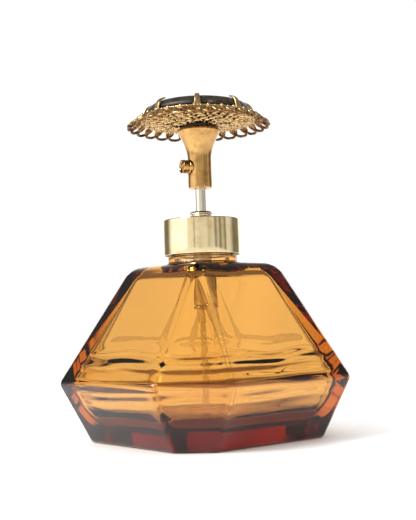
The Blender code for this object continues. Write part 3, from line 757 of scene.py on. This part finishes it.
def nozzle():
    """The side nozzle's grooved barrel and the jet in its mouth, turned round the nozzle's axis."""
    axis, centre = nozzle_axis()
    back, face, outer, bore, port = 2.4 * MM, 6.9 * MM, 2.35 * MM, 1.65 * MM, 0.6 * MM
    groove_front, groove_back, slope = face - 2.0 * MM, face - 2.6 * MM, 0.15 * MM
    groove_r, groove_round, edge, stop = outer - 0.18 * MM, 0.05 * MM, 0.1 * MM, back + 1.0 * MM
    outline = [(bore, face - 0.3 * MM, edge), (bore + 0.25 * MM, face, 0.12 * MM), (outer, face, 0.35 * MM),
               (outer, groove_front, edge), (groove_r, groove_front - slope, groove_round),
               (groove_r, groove_back + slope, groove_round), (outer, groove_back, edge),
               (outer, back, edge), (port, back, 0), (port, stop, 0), (bore, stop, 0)]
    barrel = turned("nozzle_tube", outline, "plunger", "nozzle_barrel", steps=64, paint=WORN_BRASS,
                    axis=axis, origin=centre)
    core, hole, rear = bore - GAP / 2, 0.25 * MM, 5.9 * MM
    outline = [(hole, 6.45 * MM, 0.05 * MM), (0.75 * MM, 6.6 * MM, 0.1 * MM), (core, 6.75 * MM, 0.15 * MM),
               (core, rear, 0), (hole, rear, 0)]
    jet = turned("nozzle_jet_disc", outline, "plunger", "nozzle_jet", steps=48, paint=WORN_BRASS,
                 axis=axis, origin=centre)


# The ornament ---------------------------------------------------------------------------

def plate_level(r):
    """Height of the ornament's middle surface: a dish inside, a skirt that falls outside."""
    centre = PLATE_LOW + PLATE_THICK / 2
    if r <= PLATE_R:
        return centre + PLATE_RISE * (r / PLATE_R) ** 2
    return centre + PLATE_RISE - SKIRT_SLOPE * (r - PLATE_R)


def relief_value(r, angle):
    """Height of the scroll work, 0 to 1: rows of overlapping scallops, each with a bud in it."""
    row_high, scallop_wide, drift_scale = 2.3, 2.9, 0.28
    x, y = r * math.cos(angle) / MM, r * math.sin(angle) / MM
    drift_out = noise.noise(Vector((x * drift_scale, y * drift_scale, 3.1)))
    drift_round = noise.noise(Vector((x * drift_scale, y * drift_scale, 9.4)))
    radius, turn = r / MM + 1.1 * drift_out, angle + 1.8 * drift_round * MM / max(r, MM)
    height = 0.0
    first = math.floor(radius / row_high)
    for row in (first - 1, first, first + 1):
        middle = max(1.0, (row + 0.5) * row_high)
        count = max(4, round(2 * math.pi * middle / scallop_wide))
        across = (count * turn / (2 * math.pi) + 0.5 * (row % 2)) % 1.0 - 0.5
        along = radius / row_high - row
        arch = along - 0.95 * (1 - (2 * across) ** 2) - 0.15
        ridge = math.exp(-(arch / 0.16) ** 2)
        bud = math.exp(-((along - 0.45) / 0.2) ** 2 - (across / 0.13) ** 2)
        height = max(height, ridge, 0.85 * bud)
    fine = noise.noise(Vector((x * 1.7, y * 1.7, 1.3)))
    return min(1.0, max(0.0, 0.08 + 0.85 * height + 0.14 * fine))


def dish_ring(bm, layer, r, around, level, relief):
    """A ring of the dish: relief gives the value at an angle, and level the height for a value."""
    ring = []
    for i in range(around):
        a = 2 * math.pi * i / around
        value = relief(a)
        vertex = bm.verts.new((r * math.cos(a), r * math.sin(a), level(value)))
        vertex[layer] = value
        ring.append(vertex)
    return ring


def filigree_plate():
    """The dished plate, its underside covered in fine relief."""
    around, across_under, across_top = 640, 120, 24
    depth, skin, margin, plain = 1.05 * MM, 0.1 * MM, 0.4 * MM, 0.35
    bm = bmesh.new()
    # The relief value also sets the gilt's colour: painted shade in the hollows of the scroll work and a
    # painted highlight on its crests.
    layer = bm.verts.layers.float.new("relief")
    under, over = [], []
    for j in range(across_under + 1):
        r = RIVET_HOLE_R + (PLATE_R - RIVET_HOLE_R) * j / across_under
        fade = max(0.0, min(1.0, (PLATE_R - r) / margin, (r - RIVET_HOLE_R) / margin))
        base = plate_level(r) - skin
        under.append(dish_ring(bm, layer, r, around, lambda value: base - depth * value * fade,
                               lambda a: relief_value(r, a)))
    for j in range(across_top + 1):
        r = RIVET_HOLE_R + (PLATE_R - RIVET_HOLE_R) * j / across_top
        top = plate_level(r) + PLATE_THICK / 2
        over.append(dish_ring(bm, layer, r, around, lambda value: top, lambda a: plain))
    rings = list(reversed(under)) + over
    for one, two in zip(rings, rings[1:] + rings[:1]):
        for i in range(around):
            j = (i + 1) % around
            bm.faces.new((one[i], one[j], two[j], two[i]))
    bmesh.ops.recalc_face_normals(bm, faces=bm.faces)
    mesh = to_mesh(bm, "filigree_dish")
    mesh.materials.append(GILT_PAINTED_SHADE)
    link("filigree_dish", mesh, "plunger", "filigree_plate", smooth=50)


def border_point(r, angle, lift=0.0):
    """A point on the ornament's middle surface, or lifted off it."""
    return Vector((r * math.cos(angle), r * math.sin(angle), plate_level(r) + lift))


def scalloped_border():
    """Open loops of wire round the plate: a scallop with curled ends, and a post between two."""
    inner, outer = PLATE_R, extent("scalloped_border")[0]
    wire, rim_wire, rim_points, sides = 0.50 * MM, 0.42 * MM, 160, 8
    pitch = 2 * math.pi / LOOP_COUNT
    middle, reach, bead_r = inner + 2.3 * MM, outer - wire, inner + 0.35 * MM
    bm = bmesh.new()
    scallop = ((-0.84, inner + 0.25 * MM, 0.30), (-0.68, inner + 0.95 * MM, 0.50),
               (-0.54, middle - 0.50 * MM, 0.45), (-0.72, middle + 0.20 * MM, 0.20),
               (-0.92, middle + 0.80 * MM, 0.05), (-0.72, reach - 0.52 * MM, 0.0),
               (-0.38, reach - 0.08 * MM, 0.0), (0.0, reach, 0.0))
    spots = list(scallop) + [(-t, r, lift) for t, r, lift in reversed(scallop[:-1])]
    for k in range(LOOP_COUNT):
        a = LOOP_START + k * pitch
        half = pitch * 0.48
        path = smooth_path([border_point(r, a + t * half, lift * MM) for t, r, lift in spots], 5)
        ends = len(path)
        radii = [wire * min(1.0, 0.6 + 0.4 * min(i, ends - 1 - i) / 8) for i in range(ends)]
        tube(bm, path, radii, sides)
        b = a + pitch / 2
        for side in (-1, 1):
            post = smooth_path([border_point(inner - 0.2 * MM, b + side * 0.006, 0.2 * MM),
                                border_point(inner + 0.8 * MM, b + side * 0.014, 0.35 * MM),
                                border_point(middle, b + side * 0.022, 0.2 * MM),
                                border_point(middle + 1.1 * MM, b, 0.05 * MM)], 4)
            tube(bm, post, [wire * (1.0 - 0.03 * i) for i in range(len(post))], sides)
        for turn, lift, size in ((0.0, 0.75, 0.62), (0.5, 0.55, 0.50)):
            place = Matrix.Translation(border_point(bead_r, a + turn * pitch, lift * MM))
            bmesh.ops.create_icosphere(bm, subdivisions=2, radius=size * MM, matrix=place)
    rim = [border_point(inner + 0.25 * MM, 2 * math.pi * i / rim_points, 0.05 * MM)
           for i in range(rim_points + 1)]
    tube(bm, rim, [rim_wire] * len(rim), sides, capped=False)
    bmesh.ops.remove_doubles(bm, verts=bm.verts, dist=MERGE)
    bmesh.ops.recalc_face_normals(bm, faces=bm.faces)
    # Painted light and shade: the value rises with height over the plate, so each wire's top is painted
    # lighter and its underside darker, with random tone from noise.
    layer = bm.verts.layers.float.new("relief")
    for vertex in bm.verts:
        x, y, z = (c / MM for c in vertex.co)
        rise = vertex.co.z - plate_level(vertex.co.xy.length)
        vertex[layer] = 0.50 + 0.36 * rise / MM + 0.35 * noise.noise(Vector((x * 0.9, y * 0.9, z * 0.9)))
    mesh = to_mesh(bm, "loop_border")
    mesh.materials.append(GILT_PAINTED_SHADE)
    link("loop_border", mesh, "plunger", "scalloped_border", smooth=60)


def setting():
    """The cup under the stone and the tapered claws that fold over its edge."""
    stone_r = extent("stone_cabochon")[0]
    steps, hole, thick, edge = 12, 2.55 * MM, 0.5 * MM, 0.12 * MM
    lift = PLATE_THICK / 2 + GAP
    outline = []
    for i in range(steps + 1):
        r = hole + (SETTING_R - hole) * i / steps
        outline.append((r, plate_level(r) + lift + thick, edge if i == steps else 0))
    for i in range(steps, -1, -1):
        r = hole + (SETTING_R - hole) * i / steps
        outline.append((r, plate_level(r) + lift, edge if i == steps else 0))
    outline.append((RIVET_HOLE_R, plate_level(0.0) + lift, 0))
    bm = bmesh.new()
    bm.from_mesh(lathe_mesh("cup", fillet(outline), 128))
    for index in range(PRONG_COUNT):
        a = PRONG_START + 2 * math.pi * index / PRONG_COUNT
        claw(bm, a, stone_r, plate_level(SETTING_R) + lift, STONE_EDGE_Z)
    layer = bm.verts.layers.float.new("relief")
    for vertex in bm.verts:
        x, y, z = (c / MM for c in vertex.co)
        vertex[layer] = 0.78 + 0.2 * noise.noise(Vector((x * 0.6, y * 0.6, z * 0.6)))
    bmesh.ops.recalc_face_normals(bm, faces=bm.faces)
    mesh = to_mesh(bm, "claw_setting")
    mesh.materials.append(GILT_PAINTED_SHADE)
    link("claw_setting", mesh, "plunger", "stone_setting", smooth=40)


def claw(bm, angle, stone_r, foot, edge):
    """One claw: a strip that rises outside the stone, narrows, and folds in over its edge.

    Its spine is (radius, level, half width and half thickness in millimetres).
    """
    sides, square_across, square_out = 16, 0.45, 0.6
    spine = [(stone_r + 0.90 * MM, foot - 0.3 * MM, 1.45, 0.45),
             (stone_r + 0.95 * MM, foot + 0.5 * MM, 1.30, 0.45),
             (stone_r + 0.60 * MM, foot + 1.5 * MM, 1.05, 0.42),
             (stone_r + 0.10 * MM, edge - 1.2 * MM, 0.92, 0.40),
             (stone_r - 0.65 * MM, edge - 0.25 * MM, 0.84, 0.36),
             (stone_r - 1.85 * MM, edge + 0.42 * MM, 0.74, 0.30),
             (stone_r - 2.80 * MM, edge + 0.68 * MM, 0.50, 0.20)]
    radial = Vector((math.cos(angle), math.sin(angle), 0))
    across = Vector((-math.sin(angle), math.cos(angle), 0))
    centres = smooth_path([radial * r + Vector((0, 0, z)) for r, z, w, t in spine], 4)
    sizes = smooth_path([Vector((w, t, 0)) * MM for r, z, w, t in spine], 4)
    rings = []
    for i, (point, size) in enumerate(zip(centres, sizes)):
        ahead = (centres[min(i + 1, len(centres) - 1)] - centres[max(i - 1, 0)]).normalized()
        out = across.cross(ahead).normalized()
        if out.dot(radial) < 0 and i < 10:
            out = -out
        ring = []
        for k in range(sides):
            b = 2 * math.pi * k / sides
            c, s = math.cos(b), math.sin(b)
            x = math.copysign(abs(c) ** square_across, c) * size.x
            y = math.copysign(abs(s) ** square_out, s) * size.y
            ring.append(bm.verts.new(point + across * x + out * y))
        rings.append(ring)
    for one, two in zip(rings, rings[1:]):
        for k in range(sides):
            j = (k + 1) % sides
            bm.faces.new((one[k], one[j], two[j], two[k]))
    bm.faces.new(list(reversed(rings[0])))
    bm.faces.new(rings[-1])


def stone():
    """A low dome with a thick, slightly uneven edge."""
    radius, low, high = extent("stone_cabochon")
    crown, steps, dent_deep = radius - 2.2 * MM, 24, 0.05 * MM
    outline = []
    for i in range(steps + 1):
        r = crown * i / steps
        outline.append((r, STONE_EDGE_Z + (high - STONE_EDGE_Z) * (1 - (r / crown) ** 2), 0))
    outline += [(radius - 1.1 * MM, STONE_EDGE_Z - 0.75 * MM, 0.8 * MM),
                (radius - 0.15 * MM, low + 1.5 * MM, 0.8 * MM), (radius, low + 0.6 * MM, 0.5 * MM),
                (radius - 0.6 * MM, low, 0.2 * MM), (0.0, low, 0)]
    piece = turned("dark_cabochon", outline, "plunger", "stone_cabochon", steps=192, closed=False,
                   paint=STONE)
    for vertex in piece.data.vertices:
        r = vertex.co.xy.length
        if r > radius * 0.8:
            x, y, z = (c / MM for c in vertex.co)
            dent = noise.noise(Vector((x * 0.5, y * 0.5, z * 0.7)))
            vertex.co.xy *= 1 - dent_deep * (1 + dent) / r


def small_parts():
    """Inner pieces keep their CAD shape and get real finishes; the recessed washer is turned anew."""
    finishes = {
        "thrust_washer": PLASTIC, "stem_guide": NICKEL, "stem_seal": RUBBER, "inlet_ball": STEEL,
        "ball_retainer": NICKEL, "spring_seat": NICKEL, "piston": NICKEL, "piston_seal": RUBBER,
        "outlet_ball": STEEL, "swirl_core": NICKEL, "setting_rivet": WORN_BRASS,
    }
    for name, paint in finishes.items():
        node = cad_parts[name]
        node.data.materials.clear()
        node.data.materials.append(paint)
    radius, low, high = extent("top_washer")
    outline = [(RIVET_HOLE_R, high, 0.1 * MM), (radius, high, 0.2 * MM), (radius, low, 0.25 * MM),
               (RIVET_HOLE_R, low, 0.1 * MM)]
    turned("recessed_washer", outline, "plunger", "top_washer", paint=BLACK)


# Light, floor and camera ----------------------------------------------------------------

def studio():
    """Soft boxes and grey screens all round; the camera sees plain white, matt surfaces an even light."""
    world = bpy.data.worlds.new("studio")
    bpy.context.scene.world = world
    world.use_nodes = True
    tree = world.node_tree
    tree.nodes.clear()

    def node(kind, **settings):
        made = tree.nodes.new(kind)
        for key, value in settings.items():
            setattr(made, key, value)
        return made

    def share(value, low, high, **settings):
        made = node("ShaderNodeMapRange", **settings)
        made.inputs["From Min"].default_value = low
        made.inputs["From Max"].default_value = high
        tree.links.new(value, made.inputs["Value"])
        return made.outputs["Result"]

    def mixed(factor, one, two):
        made = node("ShaderNodeMix", data_type="RGBA")
        for key, value in ((0, factor), (6, one), (7, two)):
            if isinstance(value, tuple):
                made.inputs[key].default_value = (*value, 1.0)
            else:
                tree.links.new(value, made.inputs[key])
        return made.outputs[2]

    coords = node("ShaderNodeTexCoord")
    split = node("ShaderNodeSeparateXYZ")
    tree.links.new(coords.outputs["Generated"], split.inputs[0])
    azimuth = node("ShaderNodeMath", operation="ARCTAN2")
    tree.links.new(split.outputs["X"], azimuth.inputs[0])
    tree.links.new(split.outputs["Y"], azimuth.inputs[1])

    # Once round from the front, by the left, the back and the right: position, tint, brightness
    stops = ((0.00, CREAM, 0.80), (0.035, CREAM, 1.00), (0.045, GREY, 0.50), (0.055, CREAM, 0.95),
             (0.10, CREAM, 1.00), (0.112, WHITE, 1.55), (0.25, WHITE, 1.55), (0.31, GREY, 0.24),
             (0.375, GREY, 0.28), (0.41, WHITE, 1.55), (0.585, WHITE, 1.55), (0.62, GREY, 0.28),
             (0.69, GREY, 0.24), (0.735, CREAM, 0.80), (0.77, CREAM, 0.80), (0.78, GREY, 0.25),
             (0.81, GREY, 0.75), (0.83, GREY, 0.22), (0.85, CREAM, 0.70), (0.87, GREY, 0.30),
             (0.89, CREAM, 0.85), (0.93, GREY, 0.68), (0.945, CREAM, 0.85), (1.00, CREAM, 0.80))
    walls = node("ShaderNodeValToRGB")
    band = walls.color_ramp
    while len(band.elements) < len(stops):
        band.elements.new(0.5)
    for element, (position, tint, value) in zip(band.elements, stops):
        element.position = position
        element.color = (*(c * value for c in tint), 1.0)
    tree.links.new(share(azimuth.outputs[0], -math.pi, math.pi), walls.inputs["Fac"])

    high = share(split.outputs["Z"], 0.32, 0.60, interpolation_type="SMOOTHSTEP")
    rays = node("ShaderNodeLightPath").outputs
    color = mixed(high, walls.outputs["Color"], (0.30, 0.26, 0.23))
    color = mixed(rays["Is Diffuse Ray"], color, (1.25, 1.25, 1.25))
    color = mixed(rays["Is Camera Ray"], color, (1.05, 1.05, 1.05))
    background = node("ShaderNodeBackground")
    tree.links.new(color, background.inputs["Color"])
    out = node("ShaderNodeOutputWorld")
    tree.links.new(background.outputs[0], out.inputs["Surface"])


def lamp(name, place, size, power, color):
    """A soft area lamp aimed at the bottle's shoulder."""
    data = bpy.data.lights.new(name, "AREA")
    data.shape = "RECTANGLE"
    data.size, data.size_y = size
    data.energy = power
    data.color = color
    obj = bpy.data.objects.new(name, data)
    bpy.context.scene.collection.objects.link(obj)
    target = Vector((0, 0, 60 * MM))
    obj.location = place
    obj.rotation_euler = (target - Vector(place)).to_track_quat("-Z", "Y").to_euler()


def floor():
    """A wide pale floor under the bottle."""
    size = 3.0
    bm = bmesh.new()
    bmesh.ops.create_grid(bm, x_segments=1, y_segments=1, size=size)
    obj = loose("studio_floor", to_mesh(bm, "studio_floor"))
    obj.location.z = -0.05 * MM
    paint = Paint("pale_floor")
    paint.set(Base_Color=(0.93, 0.925, 0.92, 1.0), Roughness=0.6, Specular_IOR_Level=0.2)
    obj.data.materials.append(paint.material)


def camera():
    data = bpy.data.cameras.new("camera")
    data.sensor_width = SENSOR
    data.lens = LENS
    data.clip_start = 0.01
    obj = bpy.data.objects.new("camera", data)
    bpy.context.scene.collection.objects.link(obj)
    around = Matrix.Rotation(CAMERA_AZIMUTH, 4, "Z")
    stand = Matrix.Translation((0, -CAMERA_DISTANCE, CAMERA_HEIGHT))
    aim = Matrix.Rotation(CAMERA_YAW, 4, "Z") @ Matrix.Rotation(CAMERA_PITCH, 4, "X")
    roll = Matrix.Rotation(CAMERA_ROLL, 4, "Y")
    level = Matrix.Rotation(math.pi / 2, 4, "X")
    obj.matrix_world = around @ stand @ aim @ roll @ level
    bpy.context.scene.camera = obj


glass_bottle()
collar()
ferrule()
pump()
stem()
springs()
trumpet()
nozzle()
filigree_plate()
scalloped_border()
setting()
stone()
small_parts()
studio()
floor()
camera()
lamp("key", (-0.5, -0.45, 0.55), (0.35, 0.35), 6.0, (1.0, 0.98, 0.95))
bpy.context.scene.view_settings.view_transform = "Standard"
